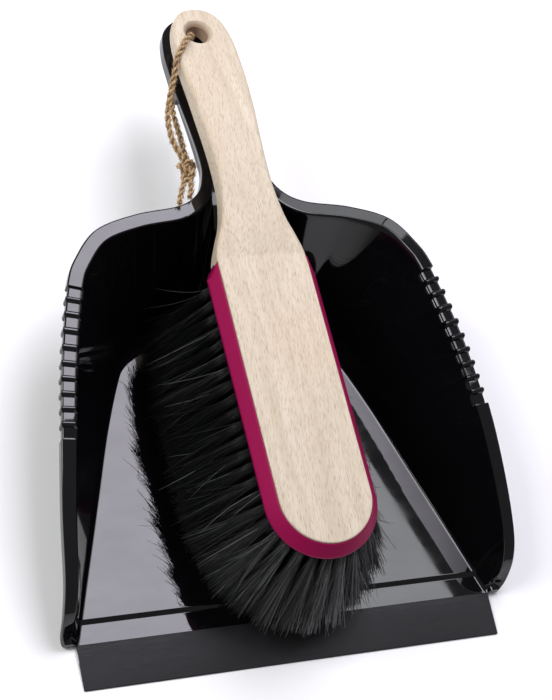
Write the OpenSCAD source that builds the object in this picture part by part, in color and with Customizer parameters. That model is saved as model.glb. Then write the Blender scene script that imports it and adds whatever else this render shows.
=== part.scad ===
// Dust pan with a hand brush nested in it, lying flat.
// X across the pan, +Y towards the handle, +Z up, millimetres.
// The pan's underside and the rubber lip rest on z = 0.

/* [Pan] */
// Thickness of the moulded wall
wall_t = 2.4; // [2:0.1:3]
// Width of the flat rim at the shoulders
rim_w = 8; // [7:0.5:9]
// Width of the flat rim at the front corners
rim_front_w = 5; // [4:0.5:6]
// Depth of the comb recess in the rim
comb_depth = 1.8; // [1:0.1:2]
// Number of comb teeth on each side
comb_teeth = 9; // [5:1:11]
// Diameter of the hanging hole in the pan's handle
pan_hole_d = 9; // [6:0.5:10]

/* [Rubber lip] */
// Width of the lip across the pan
lip_w = 230; // [226:1:234]
// Depth of the lip from its edge to the ramp
lip_depth = 23; // [20:0.5:24]
// Thickness at the lip's root
lip_root_t = 2.6; // [2.4:0.1:3]
// Thickness at the lip's sweeping edge
lip_edge_t = 0.8; // [0.6:0.1:1.2]

/* [Brush] */
// Half the width of the wooden plate over the bristles
plate_r = 24.6; // [23.5:0.1:25]
// Length of the straight part of the plate
plate_len = 133; // [125:1:133]
// Thickness of the wooden plate
plate_t = 7; // [6:0.5:7]
// Diameter of the hole through the handle
grip_hole_d = 12; // [10:0.5:12]
// Half the width of the bristle block at its widest
block_r = 30; // [29:0.5:32]
// Thickness of the bristle block, with the wooden plate
block_t = 22; // [21:0.5:24]
// Height of the plate's top over z = 0, in the middle of the bristles
brush_z = 84; // [84:0.5:88]
// Angle by which the handle end is higher
brush_tilt = 3.4; // [3:0.1:4]
// Angle by which the brush is turned on the pan
brush_yaw = 1.5; // [0:0.1:2]

/* [Bristles] */
// Diameter of a tuft's hole
tuft_d = 4.4; // [4:0.1:4.6]
// Diameter of a tuft at its tip
tip_d = 7; // [6:0.1:7]
// Free length of the bristles
bristle_len = 56.5; // [46:0.5:56.5]
// Distance between tufts along a row
tuft_pitch = 7.4; // [7.3:0.1:8]

/* [Twine] */
// Diameter of the hanging twine
twine_d = 2.8; // [2.4:0.1:3]
// Diameter of the knot
knot_d = 10; // [8:0.5:11]

/* [Hidden] */
$fn = 48;

black = [0.05, 0.05, 0.06];
rubber = [0.2, 0.2, 0.21];
beech = [0.89, 0.82, 0.74];
magenta = [0.52, 0.07, 0.26];
bristle = [0.13, 0.13, 0.14];
steel = [0.7, 0.7, 0.72];
jute = [0.6, 0.47, 0.32];

// Every sub-part is drawn about the middle of the pan's floor, then set back so that the
// origin lies under the middle of the whole set.
handle_end = 192;
front_y = -141.5;
set_back = (handle_end + front_y - lip_depth) / 2;
module placed() translate([0, -set_back, 0]) children();

// ---- pan outline: one row per station of the right half, front corner to handle end ----
// [rim outer edge], [foot of the wall inside], [y, z of the middle line]
floor_z = 3;
ramp_z = 1.8;
pan = [
    [[121.5, front_y, 5], [113, front_y, ramp_z], [front_y, ramp_z]],
    [[123.8, -138, 13], [111.8, -137.5, 2.2], [-137.5, 2.2]],
    [[124.2, -131, 26], [109.5, -130, floor_z], [-130, floor_z]],
    [[123.5, -118, 36.5], [105, -116, floor_z], [-116, floor_z]],
    [[122, -90, 47.5], [97, -92, floor_z], [-92, floor_z]],
    [[118.5, -56, 58.5], [86.5, -60, floor_z], [-60, floor_z]],
    [[113, -17, 66], [76, -28, floor_z], [-30, floor_z]],
    [[103.5, 24, 71.5], [66, -2, floor_z], [-8, floor_z]],
    [[96, 40, 73.5], [60, 9, floor_z], [2, floor_z]],
    [[83, 54, 75.5], [49, 17, floor_z], [9, floor_z]],
    [[61, 61.5, 76.5], [36, 21, floor_z], [15, floor_z]],
    [[36, 65.5, 77], [22, 26, 7], [22, 5]],
    [[24, 73, 76.8], [14, 38, 24], [34, 20]],
    [[18.6, 85, 76], [10, 58, 48], [52, 43]],
    [[17.4, 98, 75], [9, 84, 60], [80, 58]],
    [[18.3, 117, 73.8], [9.5, 112, 60.5], [110, 59.5]],
    [[20.2, 137, 73.2], [11, 135, 59.5], [134, 58.5]],
    [[21.3, 155, 73], [12, 152, 59.2], [151, 58.5]],
    [[21.4, 169, 73], [12, 165, 59], [163, 58.5]],
    [[18.6, 182, 73], [10, 175, 59], [172, 58.5]],
    [[10, 190, 73], [5, 180, 59], [176, 58.5]],
    [[0, handle_end, 73], [0, 181.5, 59], [177, 58.5]]
];
last = len(pan) - 1;
comb_from = 5.05;    // station where the comb starts, near the front
comb_to = 7;         // station where it ends, near the shoulder
step = 0.004;        // half the length of a step in the rim, in stations
tooth = 0.028;       // half the width of a tooth, in stations

// Smooth curve through p, one coordinate column at a time
function at(p, i) = p[max(0, min(last, i))];
function bend(a, b, c, d, t) =
    0.5 * (2 * b + (c - a) * t + (2 * a - 5 * b + 4 * c - d) * t * t
    + (3 * b - a - 3 * c + d) * t * t * t);
function curve(col, t) =
    let (i = min(last - 1, floor(t)), f = t - i)
    bend(at(pan, i - 1)[col], at(pan, i)[col], at(pan, i + 1)[col], at(pan, i + 2)[col], f);
function reversed(v) = [for (i = [len(v) - 1:-1:0]) v[i]];
function flat(v) = [v[0], v[1], 0];
function unit(v) = v / norm(v);
function mix(a, b, t) = a + (b - a) * t;

// Depth of the rim's top below its smooth curve: the comb's gaps lie lower than its teeth
gap = (comb_to - comb_from) / (comb_teeth + 1);
function in_comb(t) = t > comb_from && t < comb_to;
function in_tooth(t) =
    let (k = round((t - comb_from) / gap))
    k > 0 && k <= comb_teeth && abs(t - comb_from - k * gap) < tooth;
function sunk(t) = in_comb(t) && !in_tooth(t) ? comb_depth : 0;

// Every station where a ring of the shell is made
teeth_at = [for (k = [1:comb_teeth]) comb_from + k * gap];
tooth_edges = [-tooth - step, -tooth + step, tooth - step, tooth + step];
rings = concat(
    [for (t = [0:0.5:4.5]) t],
    [comb_from - step, comb_from + step],
    [for (c = teeth_at) for (d = tooth_edges) c + d],
    [comb_to - step, comb_to + step],
    [for (t = [7.33:0.333:15.9]) t],
    [16 - step, 16 + step],
    [for (t = [16.33:0.333:20.7]) t],
    [last]
);

// Closed profile of the shell at station t, from the middle line over the wall and back below
function heading(t) = unit(flat(curve(0, min(last, t + 0.02)) - curve(0, max(0, t - 0.02))));
function inward(t) = t > last - 0.01 ? [0, -1, 0] : let (d = heading(t)) [-d[1], d[0], 0];
function rim_width(t) = t < 6 ? mix(rim_front_w, rim_w, t / 6) : t > 11 ? max(6.5, rim_w - (t - 11)) : rim_w;
bend_steps = 3;
function profile(t) =
    let (
        rim = curve(0, t), foot = curve(1, t), mid = curve(2, t), back = inward(t),
        top_in = rim + back * rim_width(t),
        out = unit(flat(top_in - foot)),
        run = norm(flat(top_in - foot)),
        fillet = min(lookup(t, [[7.5, 3.5], [10, 7]]), run * 0.35),
        slope = unit([run - fillet, top_in[2] - foot[2]]),
        down = out * (slope[0] / slope[1]) + [0, 0, 1],
        knee = foot + out * fillet,
        up = knee + (out * slope[0] + [0, 0, slope[1]]) * fillet,
        wall = [for (k = [0:bend_steps]) let (s = k / bend_steps)
            mix(mix(foot, knee, s), mix(knee, up, s), s)],
        skin = (out * slope[1] - [0, 0, slope[0]]) * wall_t,
        low = sunk(t),
        edge = rim + back * (low > 0 ? 0.8 : 0),
        skirt = min(lookup(t, [[12, 6.5], [14, 9.5], [16, 7]]), rim[2] - 1),
        inset = t < 16 ? min(1.2, max(0, t - 12.5)) : 0,
        under = min(wall_t + 1.4, rim[2] * 0.5)
    )
    reversed(concat(
        [[0, mid[0], mid[1]]],
        wall,
        [top_in - down * (low + 0.8), top_in - back * 0.8 - [0, 0, low]],
        [edge + back * 0.8 - [0, 0, low], edge - [0, 0, low + 0.8]],
        [edge + back * inset - [0, 0, skirt * 0.6], edge + back * inset - [0, 0, skirt]],
        [edge + back * (inset + 1.6) - [0, 0, skirt]],
        [rim + back * 2.6 - [0, 0, under], top_in + skin - [0, 0, under]],
        [for (k = [bend_steps:-1:1]) let (q = wall[k] + skin) [q[0], q[1], max(0, q[2])]],
        [[foot[0], foot[1], max(0, foot[2] - floor_z)]],
        [[0, mid[0], max(0, mid[1] - floor_z)]]
    ));

// Solid through a list of rings of equal length, closed at both ends. Seen along the way from
// the first ring to the last, a ring's points run against the clock.
module skinned(loops) {
    n = len(loops[0]);
    m = len(loops);
    sides = [for (i = [0:m - 2]) for (j = [0:n - 1]) let (k = (j + 1) % n)
        each [[i * n + j, i * n + k, (i + 1) * n + k], [i * n + j, (i + 1) * n + k, (i + 1) * n + j]]];
    first_cap = [for (j = [n - 1:-1:0]) j];
    last_cap = [for (j = [0:n - 1]) (m - 1) * n + j];
    polyhedron([for (r = loops) each r], concat([first_cap], sides, [last_cap]));
}

// The front's section is carried straight on, to be cut down to the ledge under the lip
ledge_w = 222;
ledge_d = 8.5;
ledge_t = 1;
pan_hole_y = 166;
function squared(y) = [for (q = profile(0)) [q[0], y, q[2]]];
module pan_half() skinned(concat(
    [squared(front_y - ledge_d - 2), squared(front_y)],
    [for (t = rings) if (t > 0) profile(t)]
));
module pan_shell() color(black) placed() difference() {
    union() {
        pan_half();
        mirror([1, 0, 0]) pan_half();
    }
    translate([-150, 0, 0]) rotate([90, 0, 90]) linear_extrude(300) polygon([
        [front_y, ledge_t], [front_y, 20], [front_y - 20, 20], [front_y - 20, -1],
        [front_y - ledge_d, -1], [front_y - ledge_d, ledge_t]
    ]);
    for (s = [-1, 1]) translate([s * (ledge_w + 40) / 2 - 20, front_y - 20, -1]) cube([40, 20, 20]);
    translate([0, pan_hole_y, 40]) cylinder(d = pan_hole_d, h = 40);
}

// The lip laps over the pan's front ledge and ends in a thin sweeping edge
module rubber_lip() color(rubber) placed() {
    tip = front_y - lip_depth;
    translate([-lip_w / 2, 0, 0]) rotate([90, 0, 90]) linear_extrude(lip_w) polygon([
        [tip, 0], [front_y - ledge_d, 0], [front_y - ledge_d, ledge_t], [front_y, ledge_t],
        [front_y, lip_root_t], [front_y - 4, lip_root_t], [tip, lip_edge_t]
    ]);
}

// ---- brush: its own frame has the plate's top at z = 0 and the handle along +y ----
nose_y = -18;
plate_end = nose_y + plate_len;
gap_fit = 0.05;
module in_brush() placed() translate([-0.6, -90, brush_z]) rotate([brush_tilt, 0, brush_yaw]) children();

// A half profile turned round the nose and run along the straight part
module long_plate(half) {
    other = [for (q = reversed(half)) [-q[0], q[1]]];
    translate([0, nose_y, 0]) {
        rotate([0, 0, 180]) rotate_extrude(angle = 180) polygon(half);
        translate([0, plate_len, 0]) rotate([90, 0, 0]) linear_extrude(plate_len)
            polygon(concat(half, other));
    }
}

// Handle by the distance along it: [distance, half width, height of its top, thickness]
grip = [[115, 24.6, 0, 15.5], [119, 24, 0.5, 14.5], [124, 22.4, 1.3, 13.5], [128, 20.9, 2.1, 13.3],
    [133, 18.8, 3, 13.4], [142, 16.4, 4.4, 13.9], [151, 14.9, 5.4, 14.3], [162, 14.3, 6.1, 14.6],
    [172, 14.4, 6.4, 14.6], [185, 15, 6.2, 14.3], [198, 16, 5.6, 13.6], [210, 16.7, 4.6, 12.9],
    [223, 17.4, 2.9, 12], [238, 17.7, 0.6, 11.2], [250, 17.7, -1.1, 10.5], [270, 17.7, -3.1, 10]];
function grip_value(y, i) = lookup(y, [for (g = grip) [g[0], g[i]]]);
end_y = 270.2;
end_from = 238;
blunt = 2.5;
function grip_w(y) = grip_value(y, 1)
    * pow(max(0, 1 - pow(max(0, y - end_from) / (end_y - end_from), blunt)), 1 / blunt);
grip_stops = concat([for (g = grip) if (g[0] <= end_from) g[0]],
    [for (u = [0.3, 0.5, 0.65, 0.78, 0.88, 0.94, 0.98, 0.997]) end_from + (end_y - end_from) * u]);
top_r = 2.6;
low_r = 4.5;
function grip_ring(y) = let (w = max(1.2, grip_w(y)), z = grip_value(y, 2), t = grip_value(y, 3))
    [for (c = [[1, 1, 0], [-1, 1, 90], [-1, -1, 180], [1, -1, 270]]) for (k = [0:4])
        let (a = c[2] + k * 22.5, r = min(c[1] > 0 ? top_r : low_r, w * 0.5))
        [c[0] * (w - r) + r * cos(a), y, z + (c[1] > 0 ? -r : r - t) + r * sin(a)]];

hole_at = [-2, 253.6, -1.5];
hole_flare = 5;
screw_y = [18, 86];
module screw(extra) {
    translate([0, 0, -block_t + 0.5 - (extra > 0 ? 1 : 0)])
        cylinder(r = 3.5 + extra, h = 0.6 + (extra > 0 ? 1 : 0));
    translate([0, 0, -block_t + 1.1]) cylinder(r1 = 3.5 + extra, r2 = 1.75 + extra, h = 1.8);
    translate([0, 0, -block_t + 2.9]) cylinder(r = 1.75 + extra, h = block_t - 2.9 - 2.5 + extra);
}

module brush_handle() color(beech) in_brush() difference() {
    union() {
        long_plate([[0, -plate_t], [plate_r, -plate_t], [plate_r, -0.6], [plate_r - 0.6, 0], [0, 0]]);
        skinned([for (y = grip_stops) grip_ring(y)]);
    }
    translate(hole_at) rotate([-7, 0, 0]) {
        translate([0, 0, -20]) cylinder(d = grip_hole_d, h = 30);
        translate([0, 0, -2.8]) cylinder(d1 = grip_hole_d, d2 = grip_hole_d + hole_flare, h = 3);
        cylinder(d = grip_hole_d + hole_flare, h = 4);
    }
    for (y = screw_y) translate([0, y, 0]) screw(gap_fit);
}

// ---- tufts: each row follows the plate's outline at its own distance from the middle ----
tuft_in = 7;
anchor_t = 0.8;
rows = [[27, -15, 22], [17, -22, 16], [8.5, -22, 8]];   // [distance, height, lean]
row_end = 104;
function row_len(a) = 2 * (row_end - nose_y) + PI * a;
function on_row(a, s) = let (side = row_end - nose_y)
    s < side ? [a, row_end - s, 0]
    : s > side + PI * a ? [-a, nose_y + (s - side - PI * a), 180]
    : let (w = (s - side) / a * 180 / PI) [a * cos(w), nose_y - a * sin(w), -w];
function row_spots(a) = let (n = floor(row_len(a) / tuft_pitch))
    [for (i = [0:n]) on_row(a, row_len(a) * i / n)];
centre_spots = [for (y = [nose_y:tuft_pitch:row_end])
    if (min([for (q = screw_y) abs(y - q)]) > 6.5) [0, y, 0]];

module at_spots(spots, z, lean) for (p = spots)
    translate([p[0], p[1], z]) rotate([0, 0, p[2]]) rotate([0, 180 - lean, 0]) children();
module tuft_hole() translate([0, 0, -tuft_in]) cylinder(d = tuft_d + 2 * gap_fit, h = tuft_in + 12);
module tuft() translate([0, 0, -tuft_in + anchor_t])
    cylinder(d1 = tuft_d - 0.5, d2 = tip_d, h = bristle_len + tuft_in - anchor_t);
module anchor() translate([-0.25, -tuft_d / 2 + 0.2, -tuft_in]) cube([0.5, tuft_d - 0.4, anchor_t]);

module bristle_block() color(magenta) in_brush() difference() {
    long_plate([[0, -plate_t], [plate_r + gap_fit, -plate_t], [plate_r + gap_fit, -1.5],
        [block_r, -7], [block_r, -8.5], [24.5, -18.5], [21, -block_t], [0, -block_t]]);
    for (s = [-1, 1]) translate([s * (block_r + 1), plate_end, -30]) rotate([0, 0, 45 - s * 14])
        translate([-6, -6, 0]) cube([12, 12, 40]);
    for (r = rows) at_spots(row_spots(r[0]), r[1], r[2]) tuft_hole();
    at_spots(centre_spots, -block_t, 0) tuft_hole();
    for (y = screw_y) translate([0, y, 0]) screw(gap_fit);
}
module block_screws() color(steel) in_brush() for (y = screw_y) translate([0, y, 0]) screw(0);
module row_tufts(r) color(bristle) in_brush() at_spots(row_spots(r[0]), r[1], r[2]) tuft();
module row_anchors(r) color(steel) in_brush() at_spots(row_spots(r[0]), r[1], r[2]) anchor();
module tufts_outer() row_tufts(rows[0]);
module tufts_second() row_tufts(rows[1]);
module tufts_third() row_tufts(rows[2]);
module tufts_centre() color(bristle) in_brush() at_spots(centre_spots, -block_t, 0) tuft();
module anchors_outer() row_anchors(rows[0]);
module anchors_second() row_anchors(rows[1]);
module anchors_third() row_anchors(rows[2]);
module anchors_centre() color(steel) in_brush() at_spots(centre_spots, -block_t, 0) anchor();

// ---- twine: a knotted loop through the handle's hole, hanging over its left edge ----
front_route = [[-12.8, 161.6, 92.2], [-13, 161.2, 95.2], [-14.2, 160.1, 98.2],
    [-16.3, 158.1, 99.4], [-18.7, 155.2, 99.7], [-21.3, 150.8, 100.1], [-24.3, 146.9, 99.8],
    [-26.3, 142.9, 98], [-27, 138.7, 95], [-28.6, 134.2, 92.4], [-30, 129.7, 90.3],
    [-31.5, 125.2, 88.4], [-32.7, 121, 86.9], [-33.5, 116.4, 85.4], [-33.7, 111.4, 84],
    [-33.2, 105.7, 82.4], [-31.8, 100.2, 80.9], [-29.4, 95.2, 79.3], [-28, 91, 78.2]];
back_route = [[-12.8, 161.6, 91.7], [-12.9, 161.4, 88], [-13.6, 160.5, 84.8], [-15.4, 157.6, 81.8],
    [-18, 153, 79.8], [-20.5, 148, 78.5], [-23, 142, 77.4], [-25, 134.5, 76.6], [-26, 126.5, 76],
    [-26, 119.1, 75.8], [-25.5, 112.3, 75.6], [-25.4, 104.6, 75.7], [-25.5, 98.3, 76.1],
    [-25.3, 91, 77]];
knot_at = [-27.2, 86.8, 77.6];
tails = [
    [[-29.2, 83.2, 77.6], [-31, 78, 77.9], [-33, 73.9, 78.4], [-36.4, 65.4, 79]],
    [[-26.6, 82.5, 77.6], [-26.9, 78, 78], [-28.2, 73, 78.8], [-30, 69, 79]]
];

function route_at(p, u) = let (m = len(p) - 1, i = min(m - 1, floor(u)), f = u - i)
    bend(p[max(0, i - 1)], p[i], p[i + 1], p[min(m, i + 2)], f);
function route_dir(p, u) = unit(route_at(p, min(len(p) - 1, u + 0.05)) - route_at(p, max(0, u - 0.05)));
module tube(p, d, parts) {
    m = len(p) - 1;
    skinned([for (k = [0:m * parts]) let (
            u = k / parts, c = route_at(p, u), dir = route_dir(p, u),
            a = unit(cross(dir, [1, 0.3, 0.2])), b = cross(dir, a)
        )
        [for (j = [0:7]) c + (a * cos(j * 45) - b * sin(j * 45)) * d / 2]]);
}
module twine_front() color(jute) placed() tube(front_route, twine_d, 2);
module twine_back() color(jute) placed() tube(back_route, twine_d, 2);
module twine_knot() color(jute) placed() {
    translate(knot_at) sphere(d = knot_d);
    for (t = tails) tube(t, twine_d, 3);
}

pan_shell();
rubber_lip();
brush_handle();
bristle_block();
block_screws();
tufts_outer();
tufts_second();
tufts_third();
tufts_centre();
anchors_outer();
anchors_second();
anchors_third();
anchors_centre();
twine_front();
twine_back();
twine_knot();
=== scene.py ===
"""Dust pan with a hand brush lying in it: camera, twine, smooth shells, bristles, materials, light.

Sizes are in millimetres about the middle of the pan's floor, and at_row() turns them into the row
frame in metres.
"""

import math

import bpy
import numpy as np
from mathutils import Matrix, Vector


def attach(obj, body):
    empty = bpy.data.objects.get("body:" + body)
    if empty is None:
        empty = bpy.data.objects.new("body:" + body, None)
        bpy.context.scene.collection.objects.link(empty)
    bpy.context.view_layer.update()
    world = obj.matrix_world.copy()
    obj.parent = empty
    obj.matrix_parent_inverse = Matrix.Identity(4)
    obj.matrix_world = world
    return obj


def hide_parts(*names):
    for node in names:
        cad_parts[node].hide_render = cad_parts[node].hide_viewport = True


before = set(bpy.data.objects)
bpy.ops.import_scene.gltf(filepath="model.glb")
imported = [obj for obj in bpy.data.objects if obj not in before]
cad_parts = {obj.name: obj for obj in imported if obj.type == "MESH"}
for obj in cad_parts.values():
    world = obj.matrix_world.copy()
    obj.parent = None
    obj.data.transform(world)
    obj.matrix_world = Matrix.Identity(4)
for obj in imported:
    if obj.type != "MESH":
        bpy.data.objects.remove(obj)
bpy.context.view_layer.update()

MM = 0.001
# the row frame's origin lies this far behind the middle of the pan's floor
SET_BACK = 13.75
rng = np.random.default_rng(7)


# ---------------------------------------------------------------- helpers
def at_row(points):
    """Millimetres about the pan's floor to metres in the row frame."""
    return (np.asarray(points, float) - (0.0, SET_BACK, 0.0)) * MM


def unit(v):
    v = np.asarray(v, float)
    return v / np.maximum(np.linalg.norm(v, axis=-1, keepdims=True), 1e-12)


def smoothstep(x, low, high):
    """0 below low, 1 above high, and a soft rise between them."""
    x = np.clip((x - low) / (high - low), 0, 1)
    return x * x * (3 - 2 * x)


def catmull_rom(rows, u):
    """Smooth curve through the rows, where u counts rows from the first."""
    last = len(rows) - 1
    i = np.minimum(last - 1, np.floor(u).astype(int))
    f = (u - i)[:, None]
    a, b, c, d = (rows[np.clip(i + k, 0, last)] for k in (-1, 0, 1, 2))
    square, cube = 2 * a - 5 * b + 4 * c - d, 3 * b - a - 3 * c + d
    return 0.5 * (2 * b + (c - a) * f + square * f**2 + cube * f**3)


def run_along(points):
    """Distance from the first point to each point."""
    return np.concatenate([[0], np.cumsum(np.linalg.norm(np.diff(points, axis=0), axis=1))])


def make_mesh(name, verts, faces, material, smooth=True):
    """A mesh object from vertices and several arrays of faces of equal size."""
    mesh = bpy.data.meshes.new(name)
    verts = np.ascontiguousarray(verts, np.float32)
    groups = [np.asarray(f, np.int32) for f in faces if len(f)]
    loops = np.concatenate([g.ravel() for g in groups])
    sizes = np.concatenate([np.full(len(g), g.shape[1], np.int32) for g in groups])
    starts = np.concatenate([[0], np.cumsum(sizes)[:-1]]).astype(np.int32)
    mesh.vertices.add(len(verts))
    mesh.vertices.foreach_set("co", verts.ravel())
    mesh.loops.add(len(loops))
    mesh.loops.foreach_set("vertex_index", loops)
    mesh.polygons.add(len(sizes))
    mesh.polygons.foreach_set("loop_start", starts)
    mesh.update(calc_edges=True)
    mesh.validate()
    mesh.polygons.foreach_set("use_smooth", np.full(len(mesh.polygons), smooth))
    mesh.materials.append(material)
    obj = bpy.data.objects.new(name, mesh)
    bpy.context.scene.collection.objects.link(obj)
    return obj


def ring_faces(rings, size):
    """Quads between neighbouring rings of `size` points each."""
    r, j = np.arange(rings - 1)[:, None] * size, np.arange(size)
    following = (j + 1) % size
    return np.stack([r + j, r + following, r + size + following, r + size + j], -1).reshape(-1, 4)


def end_faces(rings, size):
    """One face that closes the first ring, and one that closes the last."""
    j = np.arange(size)[None, :]
    return j[:, ::-1], (rings - 1) * size + j


def strip_faces(rings, size):
    """Quads between neighbouring rings whose points form an open line."""
    r, j = np.arange(rings - 1)[:, None] * size, np.arange(size - 1)
    return np.stack([r + j, r + j + 1, r + j + size + 1, r + j + size], -1).reshape(-1, 4)


def place(obj, body, slot, *nodes):
    """Say which body the piece rides on and hide the CAD nodes it replaces; the slot argument is not
    used.
    """
    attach(obj, body)
    if nodes:
        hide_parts(*nodes)
    return obj


def apply_modifiers(obj):
    """The object's mesh with its modifiers made real."""
    bpy.context.view_layer.update()
    made = bpy.data.meshes.new_from_object(obj.evaluated_get(bpy.context.evaluated_depsgraph_get()))
    obj.modifiers.clear()
    old, obj.data = obj.data, made
    bpy.data.meshes.remove(old)


def soften_edges(obj, width, from_deg):
    """Bevel every edge sharper than the angle, and shade smooth."""
    soften = obj.modifiers.new("soften", "BEVEL")
    soften.width = width
    soften.segments = 2
    soften.limit_method = "ANGLE"
    soften.angle_limit = math.radians(from_deg)
    apply_modifiers(obj)
    obj.data.polygons.foreach_set("use_smooth", np.ones(len(obj.data.polygons), bool))


def sharpen(obj, from_deg, keep_flats=False):
    """Keep edges over the angle sharp and, if asked, flat faces flat beside rounded ones."""
    obj.data.set_sharp_from_angle(angle=math.radians(from_deg))
    if keep_flats:
        obj.modifiers.new("normals", "WEIGHTED_NORMAL").keep_sharp = True


def turn_about(axis, degrees):
    return Matrix.Rotation(math.radians(degrees), 4, axis)


def cut_away(obj, cutter):
    """Take the cutter's solid out of obj, and drop the cutter."""
    tool = obj.modifiers.new("cut", "BOOLEAN")
    tool.operation = "DIFFERENCE"
    tool.solver = "EXACT"
    tool.object = cutter
    apply_modifiers(obj)
    bpy.data.objects.remove(cutter)


def turned(name, section, steps, material):
    """A closed solid of revolution about z from (radius, height) points, lowest first."""
    radius, height = np.asarray(section, float).T[:, :, None]
    a = np.linspace(0, 2 * np.pi, steps, endpoint=False)
    verts = np.stack([radius * np.cos(a), radius * np.sin(a), np.repeat(height, steps, 1)], -1)
    n = len(section)
    faces = [ring_faces(n, steps), *end_faces(n, steps)]
    return make_mesh(name, verts.reshape(-1, 3), faces, material, smooth=False)


# ---------------------------------------------------------------- camera
CAMERA_AT = (-347.65, -411.2, 835.8)
CAMERA_AXES = (
    (0.92499, -0.23129, 0.30149),  # right
    (0.0638, 0.87669, 0.4768),  # up
    (-0.37459, -0.4218, 0.82569),  # back
)
CAMERA_LENS = 92.57


def add_camera():
    data = bpy.data.cameras.new("camera")
    data.sensor_width = 36.0
    data.lens = CAMERA_LENS
    data.clip_start, data.clip_end = 0.05, 50.0
    cam = bpy.data.objects.new("camera", data)
    turn = Matrix(CAMERA_AXES).transposed().to_4x4()
    cam.matrix_world = Matrix.Translation(at_row(CAMERA_AT)) @ turn
    bpy.context.scene.collection.objects.link(cam)
    bpy.context.scene.camera = cam


add_camera()


# ---------------------------------------------------------------- the brush's own frame
BRUSH_AT, BRUSH_TILT, BRUSH_YAW = (-0.6, -90, 84), 3.4, 1.5
HOLE_AT, HOLE_TURN, HOLE_D, HOLE_FLARE = (-2, 253.6, -1.5), -7, 12.0, 5.0
# from the brush's own millimetres, plate top at z = 0, to the row frame in metres
BRUSH_TURN = turn_about("Z", BRUSH_YAW) @ turn_about("X", BRUSH_TILT)
BRUSH_MATRIX = Matrix.Translation(at_row(BRUSH_AT)) @ BRUSH_TURN @ Matrix.Scale(MM, 4)


def from_brush(points):
    m = np.array(BRUSH_MATRIX)
    return np.asarray(points, float) @ m[:3, :3].T + m[:3, 3]


# ---------------------------------------------------------------- materials
def new_material(name):
    mat = bpy.data.materials.new(name)
    mat.use_nodes = True
    tree = mat.node_tree
    return mat, tree, tree.nodes["Principled BSDF"]


def feed(tree, target, inputs):
    """Link sockets to a node's inputs, or set them to constant values."""
    for key, value in inputs.items():
        if isinstance(value, bpy.types.NodeSocket):
            tree.links.new(value, target.inputs[key])
        else:
            target.inputs[key].default_value = value


def node(tree, kind, inputs=None, **settings):
    made = tree.nodes.new(kind)
    for key, value in settings.items():
        setattr(made, key, value)
    feed(tree, made, inputs or {})
    return made


def ramp(tree, factor, stops):
    """A colour ramp; stops are (position, grey or colour)."""
    made = node(tree, "ShaderNodeValToRGB", {"Fac": factor})
    points = made.color_ramp.elements
    while len(points) < len(stops):
        points.new(0.5)
    for point, (at, value) in zip(points, stops):
        point.position = at
        point.color = (value,) * 3 + (1,) if isinstance(value, (int, float)) else (*value, 1)
    return made.outputs["Color"]


def position(tree):
    return node(tree, "ShaderNodeTexCoord").outputs["Object"]


def mapped(tree, scale, rotation=(0, 0, 0), offset=(0, 0, 0)):
    """Object coordinates in millimetres, turned and then scaled."""
    turn = node(tree, "ShaderNodeMapping", {"Vector": position(tree), "Rotation": rotation})
    scale = [s / MM for s in scale]
    settings = {"Vector": turn.outputs[0], "Scale": scale, "Location": offset}
    return node(tree, "ShaderNodeMapping", settings).outputs[0]


def noise(tree, vector, detail=3.0, rough=0.5):
    settings = {"Vector": vector, "Scale": 1.0, "Detail": detail, "Roughness": rough}
    return node(tree, "ShaderNodeTexNoise", settings).outputs["Fac"]


def maths(tree, operation, a, b):
    return node(tree, "ShaderNodeMath", {0: a, 1: b}, operation=operation).outputs[0]


def mix_colour(tree, factor, base, colour):
    """The base socket mixed towards a plain colour."""
    made = node(tree, "ShaderNodeMix", data_type="RGBA")
    feed(tree, made, {0: factor, 6: base, 7: (*colour, 1)})
    return made.outputs[2]


def add_bump(tree, shader, height, strength, distance_mm):
    settings = {"Height": height, "Strength": strength, "Distance": distance_mm * MM}
    feed(tree, shader, {"Normal": node(tree, "ShaderNodeBump", settings).outputs[0]})


def gloss_black():
    """Injection-moulded plastic: deep black, mirror-like, with the faintest flow ripple."""
    mat, tree, shader = new_material("gloss_black")
    cloud = noise(tree, mapped(tree, (0.012, 0.02, 0.02)), detail=2)
    base = ramp(tree, cloud, [(0.3, (0.0018, 0.0019, 0.0024)), (0.7, (0.0030, 0.0030, 0.0037))])
    smear = noise(tree, mapped(tree, (0.02, 0.05, 0.05)), detail=6, rough=0.65)
    rough = ramp(tree, smear, [(0.35, 0.015), (0.75, 0.06)])
    level = ramp(tree, smear, [(0.3, 0.45), (0.7, 0.52)])
    looks = {"Base Color": base, "Roughness": rough, "IOR": 1.5, "Specular IOR Level": level}
    feed(tree, shader, looks)
    ripple = noise(tree, mapped(tree, (0.03, 0.03, 0.03)), detail=1)
    add_bump(tree, shader, ripple, 0.05, 0.6)
    return mat


def rubber():
    """Soft matte rubber with fine streaks along the lip and a little dust."""
    mat, tree, shader = new_material("rubber_lip")
    broad = noise(tree, mapped(tree, (0.012, 0.05, 0.05)), detail=3)
    base = ramp(tree, broad, [(0.3, (0.0075, 0.0075, 0.009)), (0.75, (0.0135, 0.0132, 0.015))])
    dust = noise(tree, mapped(tree, (2.2, 2.2, 2.2)), detail=4, rough=0.8)
    spots = ramp(tree, dust, [(0.66, 0.0), (0.8, 0.35)])
    dusty = mix_colour(tree, spots, base, (0.042, 0.041, 0.043))
    streak = noise(tree, mapped(tree, (0.15, 3.0, 3.0)), detail=4, rough=0.6)
    rough = ramp(tree, streak, [(0.3, 0.5), (0.7, 0.66)])
    feed(tree, shader, {"Base Color": dusty, "Roughness": rough, "Specular IOR Level": 0.3})
    add_bump(tree, shader, streak, 0.12, 0.12)
    return mat


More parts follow.
